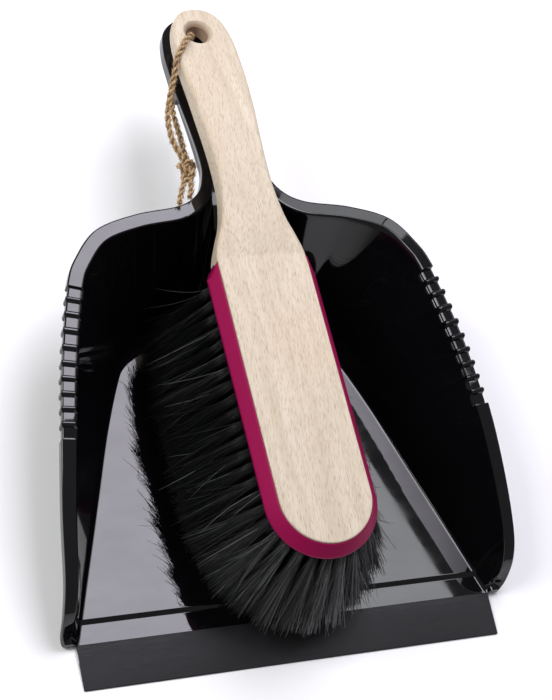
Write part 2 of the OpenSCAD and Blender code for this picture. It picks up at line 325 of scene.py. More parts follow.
def beech():
    """Sanded beech: cream, short ray flecks along the grain, soft darker bands."""
    mat, tree, shader = new_material("beech")
    turn = (0, 0, -math.radians(BRUSH_YAW))
    sway = noise(tree, mapped(tree, (0.008, 0.012, 0.012)), detail=1)

    def vector_maths(operation, a, b, output=0):
        made = node(tree, "ShaderNodeVectorMath", {0: a, 1: b}, operation=operation)
        return made.outputs[output]

    def grain(scale, lean=0, offset=(0, 0, 0)):
        """Coordinates stretched along the grain, leaning by some degrees and swaying."""
        vector = mapped(tree, scale, (0, 0, turn[2] + math.radians(lean)), offset)
        return vector_maths("ADD", vector, vector_maths("MULTIPLY", sway, (3.2, 0.5, 0.0)))

    def flecks(scale, lean, offset, size):
        settings = {"Vector": grain(scale, lean, offset), "Scale": 1.0, "Randomness": 1.0}
        cells = node(tree, "ShaderNodeTexVoronoi", settings)
        return ramp(tree, cells.outputs["Distance"], [(size * 0.35, 1.0), (size, 0.0)])

    band = noise(tree, grain((0.16, 0.006, 0.16), offset=(3, 1, 2)), detail=3, rough=0.55)
    shades = [(0.3, (0.49, 0.412, 0.308)), (0.52, (0.54, 0.462, 0.355)), (0.72, (0.585, 0.512, 0.402))]
    tone = ramp(tree, band, shades)
    warm = noise(tree, mapped(tree, (0.02, 0.012, 0.02), turn, (7, 4, 0)), detail=2)
    warm_part = ramp(tree, warm, [(0.55, 0.0), (0.78, 0.3)])
    tone = mix_colour(tree, warm_part, tone, (0.56, 0.42, 0.30))
    fine = noise(tree, grain((1.5, 0.08, 1.5), 5.0), detail=3, rough=0.6)
    fine_part = ramp(tree, fine, [(0.46, 0.0), (0.66, 0.5)])
    tone = mix_colour(tree, fine_part, tone, (0.40, 0.32, 0.225))
    dashes = [
        flecks((1.25, 0.15, 0.6), 7.0, (0, 0, 0), 0.33),
        flecks((1.1, 0.18, 0.6), 5.0, (11, 5, 3), 0.29),
    ]
    for dash in dashes:
        faint = maths(tree, "MULTIPLY", dash, 0.65)
        tone = mix_colour(tree, faint, tone, (0.31, 0.235, 0.16))
    # painted shade: the wall of the bore, cut across the grain, is painted dark brown towards its
    # middle
    bore = Vector(from_brush(np.add(HOLE_AT, (0, 0, -8))))
    far = vector_maths("DISTANCE", position(tree), bore, "Value")
    fade = {"Value": far, "From Min": 0.0082, "From Max": 0.0102, "To Min": 0.85, "To Max": 0.0}
    bore_painted_shade = node(tree, "ShaderNodeMapRange", fade).outputs[0]
    tone = mix_colour(tree, bore_painted_shade, tone, (0.27, 0.165, 0.105))
    rough = ramp(tree, fine, [(0.3, 0.46), (0.8, 0.62)])
    feed(tree, shader, {"Base Color": tone, "Roughness": rough, "Specular IOR Level": 0.35})
    add_bump(tree, shader, maths(tree, "SUBTRACT", fine, dashes[0]), 0.22, 0.12)
    return mat


def magenta():
    """Satin magenta plastic with a fine spark-eroded grain."""
    mat, tree, shader = new_material("magenta")
    broad = noise(tree, mapped(tree, (0.02, 0.02, 0.04)), detail=2)
    base = ramp(tree, broad, [(0.3, (0.235, 0.003, 0.052)), (0.7, (0.265, 0.004, 0.060))])
    grain = noise(tree, mapped(tree, (3.5, 3.5, 3.5)), detail=3, rough=0.6)
    rough = ramp(tree, grain, [(0.3, 0.36), (0.7, 0.46)])
    feed(tree, shader, {"Base Color": base, "Roughness": rough, "Specular IOR Level": 0.1})
    add_bump(tree, shader, grain, 0.10, 0.06)
    return mat


def own_tone(tree):
    """The tone that tint() stores with each strand."""
    return node(tree, "ShaderNodeAttribute", attribute_name="tone").outputs["Fac"]


def bristle():
    """Black synthetic filament, each strand with its own tone plus painted light that lightens the
    nose.
    """
    mat, tree, shader = new_material("bristle")
    tone = own_tone(tree)
    shades = [
        (0.0, (0.0035, 0.004, 0.004)), (0.4, (0.0085, 0.009, 0.009)),
        (0.7, (0.035, 0.036, 0.036)), (1.0, (0.17, 0.175, 0.175)),
    ]
    base = ramp(tree, tone, shades)
    rough = ramp(tree, tone, [(0.0, 0.42), (1.0, 0.30)])
    feed(tree, shader, {"Base Color": base, "Roughness": rough, "Specular IOR Level": 0.4})
    return mat


def steel():
    """Drawn wire and turned screw heads: bright, slightly streaked."""
    mat, tree, shader = new_material("steel")
    streak = noise(tree, mapped(tree, (6.0, 0.6, 6.0)), detail=3)
    base = ramp(tree, streak, [(0.3, (0.48, 0.48, 0.50)), (0.7, (0.66, 0.66, 0.68))])
    rough = ramp(tree, streak, [(0.3, 0.28), (0.7, 0.42)])
    feed(tree, shader, {"Metallic": 1.0, "Base Color": base, "Roughness": rough})
    add_bump(tree, shader, streak, 0.1, 0.05)
    return mat


def jute():
    """Raw jute yarn: tan fibres, with painted shade in the hollows between them."""
    mat, tree, shader = new_material("jute")
    shades = [(0.0, (0.055, 0.028, 0.012)), (0.4, (0.29, 0.175, 0.078)), (1.0, (0.70, 0.50, 0.265))]
    base = ramp(tree, own_tone(tree), shades)
    mottled = noise(tree, mapped(tree, (1.1, 1.1, 1.1)), detail=5, rough=0.75)
    spots = ramp(tree, mottled, [(0.46, 0.0), (0.68, 0.8)])
    colour = mix_colour(tree, spots, base, (0.085, 0.048, 0.022))
    feed(tree, shader, {"Base Color": colour, "Roughness": 0.85})
    feed(tree, shader, {"Specular IOR Level": 0.2, "Sheen Weight": 0.2})
    fuzz = noise(tree, mapped(tree, (4, 4, 4)), detail=4, rough=0.7)
    add_bump(tree, shader, fuzz, 0.5, 0.15)
    return mat


GLOSS, RUBBER, BEECH, MAGENTA = gloss_black(), rubber(), beech(), magenta()
BRISTLE, STEEL, JUTE = bristle(), steel(), jute()


def tint(obj, tones):
    """Store one tone per vertex for the material to read."""
    layer = obj.data.attributes.new("tone", "FLOAT", "POINT")
    layer.data.foreach_set("value", np.asarray(tones, np.float32))


# ---------------------------------------------------------------- twine
# length of one twist and distance from the middle, of a ply in the twine and a yarn in its ply
PLY_PITCH, PLY_OUT = 8.6, 0.66
YARN_PITCH, YARN_OUT, YARN_R = 3.4, 0.36, 0.40
YARN_SIDES, FIBRE_R = 6, 0.10
FRONT_ROUTE = [
    (-12.8, 161.6, 92.2), (-13, 161.2, 95.2), (-14.2, 160.1, 98.2), (-16.3, 158.1, 99.4),
    (-18.7, 155.2, 99.7), (-21.3, 150.8, 100.1), (-24.3, 146.9, 99.8), (-26.3, 142.9, 98),
    (-27, 138.7, 95), (-28.6, 134.2, 92.4), (-30, 129.7, 90.3), (-31.5, 125.2, 88.4),
    (-32.7, 121, 86.9), (-33.5, 116.4, 85.4), (-33.7, 111.4, 84), (-33.2, 105.7, 82.4),
    (-31.8, 100.2, 80.9), (-29.4, 95.2, 79.3), (-28, 91, 78.2),
]
BACK_ROUTE = [
    (-12.8, 161.6, 91.7), (-12.9, 161.4, 88), (-13.6, 160.5, 84.8), (-15.4, 157.6, 81.8),
    (-18, 153, 79.8), (-20.5, 148, 78.5), (-23, 142, 77.4), (-25, 134.5, 76.6), (-26, 126.5, 76),
    (-26, 119.1, 75.8), (-25.5, 112.3, 75.6), (-25.4, 104.6, 75.7), (-25.5, 98.3, 76.1),
    (-25.3, 91, 77),
]
KNOT_AT = np.array((-27.2, 86.8, 77.6))
TAILS = [
    [(-28.4, 86.5, 77.7), (-29.2, 83.2, 77.6), (-31, 78, 77.9), (-33, 73.9, 78.4), (-36.4, 65.4, 79)],
    [(-26.4, 86, 77.5), (-26.6, 82.5, 77.6), (-26.9, 78, 78), (-28.2, 73, 78.8), (-30, 69, 79)],
]


def spline(points, spacing=0.3):
    """Smooth curve through the points at an even spacing, and the distance along it."""
    m = len(points) - 1
    q = catmull_rom(np.asarray(points, float), np.linspace(0, m, m * 40 + 1))
    run = run_along(q)
    steps = max(4, int(round(run[-1] / spacing)))
    at = np.linspace(0, run[-1], steps + 1)
    return np.stack([np.interp(at, run, q[:, k]) for k in range(3)], -1), at


def frames_along(path):
    """Directions and two cross axes that don't spin along a path."""
    ahead = unit(np.gradient(path, axis=0))
    side = np.empty_like(path)
    side[0] = unit(np.cross(ahead[0], (0.3, 0.2, 1.0)))
    for k in range(1, len(path)):
        side[k] = unit(side[k - 1] - ahead[k] * np.dot(side[k - 1], ahead[k]))
    return ahead, side, np.cross(ahead, side)


def tube(path, radius, sides):
    """Vertices and faces of a tube; radius is one number or one per point."""
    _, side, other = frames_along(path)
    a = np.arange(sides) * 2 * np.pi / sides
    r = np.broadcast_to(radius, len(path))[:, None, None]
    rim = side[:, None] * np.cos(a)[:, None] + other[:, None] * np.sin(a)[:, None]
    verts = (path[:, None] + rim * r).reshape(-1, 3)
    n = len(path)
    return verts, ring_faces(n, sides), np.concatenate(end_faces(n, sides))


def yarn(path, at, swell=1.22):
    """Two plies of three yarns each, twisted along a path."""
    ahead, side, other = frames_along(path)
    parts, tones = [], []
    ply_turn = 2 * np.pi * at / PLY_PITCH
    for ply in range(2):
        a = (ply_turn + ply * np.pi)[:, None]
        out = side * np.cos(a) + other * np.sin(a)
        over = unit(np.cross(ahead, out))
        centre = path + out * PLY_OUT * swell
        for k in range(3):
            b = (-2 * np.pi * at / YARN_PITCH + k * 2 * np.pi / 3)[:, None]
            wander = rng.normal(0, 0.035, (len(path), 1))
            line = centre + (out * np.cos(b) + over * np.sin(b)) * (YARN_OUT * swell + wander)
            lumps = 0.15 * np.sin(at * 2.1 + rng.uniform(0, 6))
            lumps = lumps + 0.13 * np.sin(at * 0.9 + rng.uniform(0, 6))
            thick = YARN_R * swell * (1 + lumps + rng.normal(0, 0.06, len(path)))
            parts.append(tube(line, thick, YARN_SIDES))
            # painted shade: what lies deep in the twist is painted darker
            far = np.linalg.norm(parts[-1][0] - np.repeat(path, YARN_SIDES, 0), axis=1)
            tones.append(np.clip((far - 0.55) / 1.1, 0, 1) * 0.7 + rng.uniform(-0.06, 0.2))
    return parts, tones


def loose_fibres(path, count):
    """Short fine hairs that stand out of a twine."""
    parts, tones = [], []
    ahead, side, other = frames_along(path)
    for _ in range(count):
        k = rng.integers(2, len(path) - 2)
        a = rng.uniform(0, 2 * np.pi)
        out = side[k] * math.cos(a) + other[k] * math.sin(a)
        along = ahead[k] * rng.choice((-1, 1))
        length = rng.uniform(1.0, 3.6)
        s = np.linspace(0, 1, 5)[:, None]
        start = path[k] + out * rng.uniform(0.9, 1.25)
        hair = start + along * s * length * 0.8 + out * 1.3 * rng.uniform(0.1, 1.35) * s**1.6
        hair = hair + np.cross(ahead[k], out) * rng.normal(0, 0.5) * s**2
        parts.append(tube(hair, FIBRE_R * (1 - 0.6 * s[:, 0]), 3))
        tones.append(np.full(len(parts[-1][0]), rng.uniform(0.4, 1.0)))
    return parts, tones


def join(name, parts, tones, material):
    """One object from several (vertices, quads, end faces) parts."""
    verts, quads, ends, base = [], [], {}, 0
    for v, q, e in parts:
        verts.append(v)
        quads.append(q + base)
        ends.setdefault(e.shape[1], []).append(e + base)
        base += len(v)
    caps = [np.concatenate(e) for e in ends.values()]
    obj = make_mesh(name, at_row(np.concatenate(verts)), [np.concatenate(quads), *caps], material)
    tint(obj, np.concatenate(tones))
    return obj


def add_strand(name, route, fuzz):
    """One strand, with its middle line and its length."""
    path, at = spline(route)
    parts, tones = yarn(path, at)
    more, more_tones = loose_fibres(path, fuzz)
    return join(name, parts + more, tones + more_tones, JUTE), path, at[-1]


def overhand():
    """A closed overhand loop that wraps the two strands."""
    t = np.linspace(0, 2 * np.pi, 150, endpoint=False)
    x = np.sin(t) + 2 * np.sin(2 * t)
    y = np.cos(t) - 2 * np.cos(2 * t)
    z = -np.sin(3 * t)
    return np.stack([x * 1.32, y * 1.6, z * 2.1], -1)


def add_knot():
    """Both strands tied together in one fat overhand knot, with two frayed tails."""
    parts, tones = [], []

    def gather(*made):
        for p, t in made:
            parts.extend(p)
            tones.extend(t)

    loop = overhand() * 1.15 + KNOT_AT + (0, 0, 0.4)
    loop = np.concatenate([loop, loop[:1]])
    gather(yarn(loop, run_along(loop), 1.2), loose_fibres(loop, 260))
    for route, shift, tail in ((FRONT_ROUTE, 0.6, TAILS[1]), (BACK_ROUTE, -0.6, TAILS[0])):
        inner = (route[-1], KNOT_AT + (shift, 0, shift), *tail[:2])
        gather(yarn(*spline(inner), 1.0))
    for tail in TAILS:
        path, run = spline(tail)
        gather(yarn(path, run, 1.2), loose_fibres(path, 170))
        ahead, side, other = frames_along(path)
        for _ in range(46):
            a, r = rng.uniform(0, 2 * np.pi), 1.25 * math.sqrt(rng.uniform())
            out = side[-1] * math.cos(a) + other[-1] * math.sin(a)
            s = np.linspace(0, 1, 4)[:, None]
            hair = path[-3] + out * r + ahead[-1] * s * rng.uniform(0.8, 2.6)
            hair = hair + out * s**2 * rng.uniform(0, 0.9)
            parts.append(tube(hair, FIBRE_R * (1 - 0.5 * s[:, 0]), 3))
            tones.append(np.full(len(parts[-1][0]), rng.uniform(0.2, 0.9)))
    return join("twine_knot_tied", parts, tones, JUTE)


front, front_path, front_len = add_strand("twine_front_strand", FRONT_ROUTE, 900)
back, back_path, back_len = add_strand("twine_back_strand", BACK_ROUTE, 700)
knot = add_knot()
place(front, "brush", "jute", "twine_front")
place(back, "brush", "jute", "twine_back")
place(knot, "brush", "jute", "twine_knot")

# ---------------------------------------------------------------- pan
FRONT_Y = -141.5
WALL_T, EDGE_R = 2.4, 0.9
FLOOR_Z, RAMP_Z = 3.0, 1.8
RISER_FROM, RISER_TO = -131.4, -128.6
HANG_HOLE_Y, HANG_HOLE_R = 166, 4.5
WELD_M = 0.00002
LIP_DEPTH, LIP_HALF = 23, 115
# stations count the rows of PAN from the front, 0, round to the handle's end
COMB_FROM, COMB_TO, COMB_DEPTH, TEETH = 5.05, 7.0, 1.8, 9
TOOTH_HALF, COMB_FADE, COMB_INSET = 0.040, 0.012, 0.9
RISER_BEFORE, SAME_STATION = 3.5, 0.0035
# stations and values: the rim's width, the inside corner's radius, the skirt's depth
RIM_W = (0, 6, 11, 12.5), (5, 8, 8, 6.5)
CORNER_R = (7.5, 10), (1.8, 7)
SKIRT = (12, 14, 16), (6.5, 9.5, 7)
# rim outer edge | foot of the wall inside | middle line's y and z
PAN = np.array(
    [
        (121.5, FRONT_Y, 5, 113, FRONT_Y, RAMP_Z, FRONT_Y, RAMP_Z),
        (123.8, -138, 13, 111.8, -137.5, 2.2, -137.5, 2.2),
        (124.2, -131, 26, 109.5, -130, FLOOR_Z, -130, FLOOR_Z),
        (123.5, -118, 36.5, 105, -116, FLOOR_Z, -116, FLOOR_Z),
        (122, -90, 47.5, 97, -92, FLOOR_Z, -92, FLOOR_Z),
        (118.5, -56, 58.5, 86.5, -60, FLOOR_Z, -60, FLOOR_Z),
        (113, -17, 66, 76, -28, FLOOR_Z, -30, FLOOR_Z),
        (103.5, 24, 71.5, 66, -2, FLOOR_Z, -8, FLOOR_Z),
        (96, 40, 73.5, 60, 9, FLOOR_Z, 2, FLOOR_Z),
        (83, 54, 75.5, 49, 17, FLOOR_Z, 9, FLOOR_Z),
        (61, 61.5, 76.5, 36, 21, FLOOR_Z, 15, FLOOR_Z),
        (36, 65.5, 77, 22, 26, 7, 22, 5),
        (24, 73, 76.8, 14, 38, 24, 34, 20),
        (18.6, 85, 76, 10, 58, 48, 52, 43),
        (17.4, 98, 75, 9, 84, 60, 80, 58),
        (18.3, 117, 73.8, 9.5, 112, 60.5, 110, 59.5),
        (20.2, 137, 73.2, 11, 135, 59.5, 134, 58.5),
        (21.3, 155, 73, 12, 152, 59.2, 151, 58.5),
        (21.4, 169, 73, 12, 165, 59, 163, 58.5),
        (18.6, 182, 73, 10, 175, 59, 172, 58.5),
        (10, 190, 73, 5, 180, 59, 176, 58.5),
        (0, 192, 73, 0, 181.5, 59, 177, 58.5),
    ],
    float,
)
LAST = len(PAN) - 1


def pan_stations():
    """Stations along the rim, closer together at the riser, the comb and the handle's end."""
    gap = (COMB_TO - COMB_FROM) / (TEETH + 1)
    teeth = COMB_FROM + gap * np.arange(1, TEETH + 1)
    parts = [
        np.arange(0, 1.8, 0.06),
        np.arange(1.8, 2.35, 0.02),
        np.arange(2.35, 4.95, 0.1),
        np.arange(4.95, 7.05, 0.02),
        *[c + np.arange(-0.045, 0.0451, 0.006) for c in teeth],
        *[c + np.arange(-0.02, 0.0201, 0.005) for c in (COMB_FROM, COMB_TO)],
        np.arange(7.05, 20.5, 0.06),
        16 + np.arange(-0.04, 0.041, 0.01),
        np.linspace(20.5, LAST, 14),
    ]
    t = np.unique(np.round(np.concatenate(parts), 4))
    keep = np.concatenate([[True], np.diff(t) > SAME_STATION])
    keep[-1] = True
    return t[keep], teeth


def arc(a, corner, b, steps):
    """Points of a rounded corner from a to b, without a and with b."""
    s = (np.arange(1, steps + 1) / steps)[:, None, None]
    return list(a * (1 - s) ** 2 + corner * 2 * s * (1 - s) + b * s**2)


def between(a, b, *parts):
    """Points at the given parts of the way from a to b."""
    return [a + (b - a) * f for f in parts]


def above_ground(p):
    """The points, none of them lower than what the pan stands on."""
    return np.maximum(p, (-np.inf, -np.inf, 0))


def pan_profiles():
    """One closed ring of points per station: middle line, wall, rim, skirt and back below."""
    t, teeth = pan_stations()
    c = catmull_rom(PAN, t)
    rim, foot = c[:, :3].copy(), c[:, 3:6].copy()
    mid = np.stack([np.zeros(len(t)), c[:, 6], c[:, 7]], -1)
    # the floor drops to the front strip in a short riser
    front = t < RISER_BEFORE
    for line in (foot, mid):
        step = RAMP_Z + (FLOOR_Z - RAMP_Z) * smoothstep(line[:, 1], RISER_FROM, RISER_TO)
        line[front, 2] = step[front]
    ahead = catmull_rom(PAN, np.minimum(LAST, t + 0.02))
    behind = catmull_rom(PAN, np.maximum(0, t - 0.02))
    head = unit((ahead - behind)[:, :3] * (1, 1, 0))
    back = np.stack([-head[:, 1], head[:, 0], np.zeros(len(t))], -1)
    back[-1] = (0, -1, 0)
    up = np.array((0, 0, 1.0))
    top_in = rim + back * np.interp(t, *RIM_W)[:, None]
    flat = (top_in - foot) * (1, 1, 0)
    run = np.linalg.norm(flat, axis=1, keepdims=True)
    out = unit(flat)
    fillet = np.minimum(np.interp(t, *CORNER_R)[:, None], run * 0.35)
    rise = (top_in[:, 2] - foot[:, 2])[:, None]
    slope = unit(np.concatenate([run - fillet, rise], 1))
    down = out * (slope[:, :1] / slope[:, 1:]) + up
    knee = foot + out * fillet
    wall_from = knee + (out * slope[:, :1] + up * slope[:, 1:]) * fillet
    # comb: the rim lies lower between rounded teeth
    inside = smoothstep(t, COMB_FROM - COMB_FADE, COMB_FROM + COMB_FADE)
    inside = inside * (1 - smoothstep(t, COMB_TO - COMB_FADE, COMB_TO + COMB_FADE))
    tooth = np.zeros(len(t))
    for centre in teeth:
        s = np.clip(np.abs(t - centre) / TOOTH_HALF, 0, 1)
        tooth = np.maximum(tooth, np.sqrt(1 - s**2))
    low = (COMB_DEPTH * inside * (1 - tooth))[:, None]
    drop = up * low
    a_in = top_in - down * (low + EDGE_R)
    b_in = top_in - back * EDGE_R - drop
    edge = rim + back * COMB_INSET * np.minimum(1, low / COMB_DEPTH)
    a_out, b_out = edge + back * EDGE_R - drop, edge - up * (low + EDGE_R)
    skirt = np.minimum(np.interp(t, *SKIRT), rim[:, 2] - 1)[:, None]
    # along the front half of the handle the skirt leans in a little
    tuck = (np.clip(t - 12.5, 0, 1.2) * (1 - smoothstep(t, 15.98, 16.02)))[:, None]
    under = np.minimum(WALL_T + 1.4, rim[:, 2] * 0.5)[:, None]
    skin = (out * slope[:, 1:] - up * slope[:, :1]) * WALL_T
    # along the ring: floor, wall, rim, skirt, then back under them
    points = between(mid, foot, 0, 0.3, 0.6, 0.85, 0.97, 0.995, 1)
    points += arc(foot, knee, wall_from, 9)
    points += between(wall_from, a_in, 0.03, 0.35, 0.7, 0.97, 1)
    points += arc(a_in, top_in - drop, b_in, 4)
    points += between(b_in, a_out, 0.06, 0.5, 0.94, 1)
    points += arc(a_out, edge - drop, b_out, 4)
    belly = edge + back * tuck - up * skirt * 0.6
    hem = edge + back * tuck - up * skirt
    points += between(b_out, belly, 0.08, 0.3, 0.6, 1)
    points += [belly + (hem - belly) * 0.5, hem + up * 0.5]
    points += arc(hem + up * 0.5, hem, hem + back * 0.5, 2)
    points += [hem + back * 1.6]
    points += [rim + back * 2.6 - up * under, top_in + skin - up * under]
    points += [above_ground(p + skin) for p in between(wall_from, a_in, 0.675, 0.45, 0.225, 0)]
    points += [above_ground(p + skin) for p in arc(foot, knee, wall_from, 4)[-2::-1]]
    points += [above_ground(p - up * FLOOR_Z) for p in (foot, mid)]
    rings = np.stack(points, 1)
    rings[0, :, 1] = FRONT_Y
    return rings


def add_pan():
    """The right half and its mirror image as one closed shell, with its hanging hole."""
    rings = pan_profiles()
    n, m, _ = rings.shape
    right = rings.reshape(-1, 3)
    quads = strip_faces(n, m)[:, (0, 3, 2, 1)]
    cap = np.arange(m)[None, :]
    verts = np.concatenate([right, right * (-1, 1, 1)])
    quads = np.concatenate([quads, quads[:, ::-1] + n * m])
    obj = make_mesh("pan_moulding", at_row(verts), [quads, [*cap[:, ::-1], *(cap + n * m)]], GLOSS)
    obj.modifiers.new("weld", "WELD").merge_threshold = WELD_M
    apply_modifiers(obj)
    hole = turned("hole", [(HANG_HOLE_R, 40), (HANG_HOLE_R, 72)], 64, GLOSS)
    hole.matrix_world = Matrix.Translation(at_row((0, HANG_HOLE_Y, 0))) @ Matrix.Scale(MM, 4)
    cut_away(obj, hole)
    sharpen(obj, 38)
    place(obj, "pan", "gloss_black", "pan_shell")


def add_lip():
    """The rubber strip with soft edges, thin where it sweeps."""
    tip, root = FRONT_Y - LIP_DEPTH, FRONT_Y
    y, z = np.array([
        (tip, 0), (root - 8.5, 0), (root - 8.5, 1), (root, 1),
        (root, 2.6), (root - 4, 2.6), (tip + 0.4, 0.8), (tip, 0.6),
    ]).T
    inner = np.linspace(2 - LIP_HALF, LIP_HALF - 2, 60)
    xs = np.array([-LIP_HALF, 0.4 - LIP_HALF, *inner, LIP_HALF - 0.4, LIP_HALF])
    rings = np.stack([np.broadcast_to(v, (len(xs), len(y))) for v in (xs[:, None], y, z)], -1)
    # the outermost rings round the corners of the tip
    rings[[0, -1], :, 1] = np.maximum(y, tip + 0.4)
    faces = [ring_faces(len(xs), len(y)), *end_faces(len(xs), len(y))]
    obj = make_mesh("lip_strip", at_row(rings.reshape(-1, 3)), faces, RUBBER, smooth=False)
    soften_edges(obj, 0.25 * MM, 20)
    sharpen(obj, 40)
    place(obj, "pan", "rubber_lip", "rubber_lip")


# ---------------------------------------------------------------- brush
PLATE_R, PLATE_T = 24.6, 7.0
NOSE_Y, PLATE_LEN = -18.0, 133.0
PLATE_END = NOSE_Y + PLATE_LEN
BLOCK_R, BLOCK_T = 30.0, 22.0
END_Y, END_FROM, END_R, BLUNT = 270.2, 238.0, 17.7, 2.5
# y | half width | height of the top | thickness
GRIP = np.array(
    [
        (115, 24.6, 0, 15.5), (119, 24, 0.5, 14.5), (124, 22.4, 1.3, 13.5), (128, 20.9, 2.1, 13.3),
        (133, 18.8, 3, 13.4), (142, 16.4, 4.4, 13.9), (151, 14.9, 5.4, 14.3), (162, 14.3, 6.1, 14.6),
        (172, 14.4, 6.4, 14.6), (185, 15, 6.2, 14.3), (198, 16, 5.6, 13.6), (210, 16.7, 4.6, 12.9),
        (223, 17.4, 2.9, 12), (238, 17.7, 0.6, 11.2), (250, 17.7, -1.1, 10.5), (270.2, 17.7, -3.1, 10),
    ],
    float,
)


def grip_at(y):
    """Half width, top height and thickness of the handle, smooth between the table's rows."""
    at, values = GRIP[:, 0], GRIP[:, 1:]
    rise = np.gradient(values, at, axis=0)
    # the handle leaves the plate level and nearly in line with its sides
    rise[0] = (-0.05, 0.0, 0)
    i = np.clip(np.searchsorted(at, y, side="right") - 1, 0, len(at) - 2)
    span = (at[i + 1] - at[i])[:, None]
    f = (y[:, None] - at[i][:, None]) / span
    return (
        (2 * f**3 - 3 * f**2 + 1) * values[i]
        + (f**3 - 2 * f**2 + f) * span * rise[i]
        + (3 * f**2 - 2 * f**3) * values[i + 1]
        + (f**3 - f**2) * span * rise[i + 1]
    )


def handle_outline():
    """Right half of the wood from nose to end: points, outward directions, top, thickness."""
    a = np.radians(np.linspace(1.5, 90, 28))
    nose = np.stack([PLATE_R * np.sin(a), NOSE_Y - PLATE_R * np.cos(a)], -1)
    straight = np.stack([np.full(16, PLATE_R), np.linspace(NOSE_Y, PLATE_END - 0.1, 17)[1:]], -1)
    ys = np.concatenate([[115.1, 115.8], np.arange(117, END_FROM, 1.5)])
    grip = np.stack([grip_at(ys)[:, 0], ys], -1)
    b = np.radians(89.3) * np.linspace(0, 1, 44) ** 1.2
    power = 2 / BLUNT
    end_y = END_FROM + (END_Y - END_FROM) * np.sin(b) ** power
    end = np.stack([END_R * np.cos(b) ** power, end_y], -1)
    line = np.concatenate([nose, straight, grip, end])
    top = np.zeros(len(line))
    thick = np.full(len(line), PLATE_T)
    held = line[:, 1] > PLATE_END
    top[held], thick[held] = grip_at(line[held, 1])[:, 1:].T
    along = unit(np.gradient(line, axis=0))
    return line, np.stack([along[:, 1], -along[:, 0]], -1), top, thick


def add_handle():
    """Sanded beech: the plate over the bristles and the rounded handle in one piece."""
    line, out, top, thick = handle_outline()
    y = line[:, 1]
    top_r = 0.7 + 1.9 * smoothstep(y, 106, 124)
    low_r = np.where(y < PLATE_END, 0.4, 4.5)
    a = np.linspace(0, np.pi / 2, 8)
    levels = [(top_r * 2.4, 0 * top_r), (top_r * 1.3, 0 * top_r)]
    levels += [(top_r * (1 - math.sin(k)), top_r * (1 - math.cos(k))) for k in a]
    levels += [(0 * top_r, top_r + (thick - top_r - low_r) * f) for f in (0.15, 0.5, 0.85)]
    levels += [(low_r * (1 - math.cos(k)), thick - low_r * (1 - math.sin(k))) for k in a]
    levels += [(low_r * 1.35, thick)]
    points = []
    for inset, depth in levels:
        x = np.maximum(0.01, line[:, 0] - out[:, 0] * inset)
        points.append(np.stack([x, y - out[:, 1] * inset, top - depth], -1))
    half = np.stack(points, 1)
    full = np.concatenate([half, half[:, ::-1] * (-1, 1, 1)], 1)
    n, m, _ = full.shape
    j = np.arange(m // 2 - 1)
    cap = np.stack([j, j + 1, m - 2 - j, m - 1 - j], -1)
    faces = np.concatenate([ring_faces(n, m)[:, ::-1], cap, cap[:, ::-1] + (n - 1) * m])
    obj = make_mesh("beech_handle", from_brush(full.reshape(-1, 3)), [faces], BEECH)
    r, wide = HOLE_D / 2, (HOLE_D + HOLE_FLARE) / 2
    section = [(r, -20), (r, -3.1), (r + 0.2, -2.7), (wide, 0.2), (wide + 0.3, 0.8), (wide + 0.3, 4)]
    drill = turned("drill", section, 96, BEECH)
    drill.matrix_world = BRUSH_MATRIX @ Matrix.Translation(HOLE_AT) @ turn_about("X", HOLE_TURN)
    cut_away(obj, drill)
    sharpen(obj, 34, keep_flats=True)
    place(obj, "brush", "beech", "brush_handle")


def swept_slot(section):
    """A half section carried round the nose and back, one ring of points per stop."""
    stops = [((1, 0), (0, y)) for y in np.linspace(PLATE_END, NOSE_Y, 12)]
    for k in np.linspace(0, np.pi, 49)[1:-1]:
        stops.append(((math.cos(k), -math.sin(k)), (0, NOSE_Y)))
    stops += [((-1, 0), (0, y)) for y in np.linspace(NOSE_Y, PLATE_END, 12)]
    return np.array([[(c[0] + d[0] * r, c[1] + d[1] * r, z) for r, z in section] for d, c in stops])


def add_block():
    """Magenta block under the plate: bevelled shoulder, undercut sides, clipped rear corners."""
    section = [
        (PLATE_R + 0.05, -7), (PLATE_R + 0.05, -1.3), (PLATE_R + 0.2, -0.95), (PLATE_R + 0.55, -0.95),
        (PLATE_R + 0.9, -1.2), (BLOCK_R - 0.7, -6.3), (BLOCK_R - 0.15, -7.0), (BLOCK_R, -7.6),
        (BLOCK_R - 0.1, -8.5), (BLOCK_R - 0.5, -9.3), (24.9, -18.0), (24.2, -19.0), (21.6, -21.6),
        (20.6, -BLOCK_T),
    ]
    rings = swept_slot(section)
    n, m, _ = rings.shape
    loop = np.arange(n)[None, :] * m
    rear = np.concatenate([np.arange(m), (n - 1) * m + np.arange(m)[::-1]])[None, :]
    faces = [strip_faces(n, m), loop, loop[:, ::-1] + m - 1, rear[:, ::-1]]
    obj = make_mesh("magenta_block", rings.reshape(-1, 3), faces, MAGENTA)
    for side in (-1, 1):
        cutter = turned("corner", [(7.0, -32), (7.0, 8)], 4, MAGENTA)
        stand = Matrix.Translation((side * (BLOCK_R + 1.2), PLATE_END, 0))
        cutter.matrix_world = stand @ turn_about("Z", 90 - side * 14) @ Matrix.Scale(1.25, 4)
        cut_away(obj, cutter)
    soften_edges(obj, 0.35, 50)
    obj.data.transform(BRUSH_MATRIX)
    sharpen(obj, 40, keep_flats=True)
    place(obj, "brush", "magenta", "bristle_block")


# ---------------------------------------------------------------- bristles
BRISTLE_LEN, TUFT_PITCH, ROW_END = 56.5, 7.4, 104.0
SCREW_Y = (18.0, 86.0)
SCREW_CLEAR = 6.5
TUFT_R, DEPTH_IN_BLOCK = 1.9, 2.0
STRAY_SHARE, STRAND_STEPS = 0.035, 6
STRAND_TAPER = (1, 1, 1, 0.97, 0.9, 0.62)
# name | radius round the nose | height of the holes | lean in degrees | strands | thickness | pieces
ROWS = [
    ("outer", 27, -15, 22, 250, 0.26, 4),
    ("second", 17, -22, 16, 170, 0.28, 3),
    ("third", 8.5, -22, 8, 80, 0.34, 1),
]


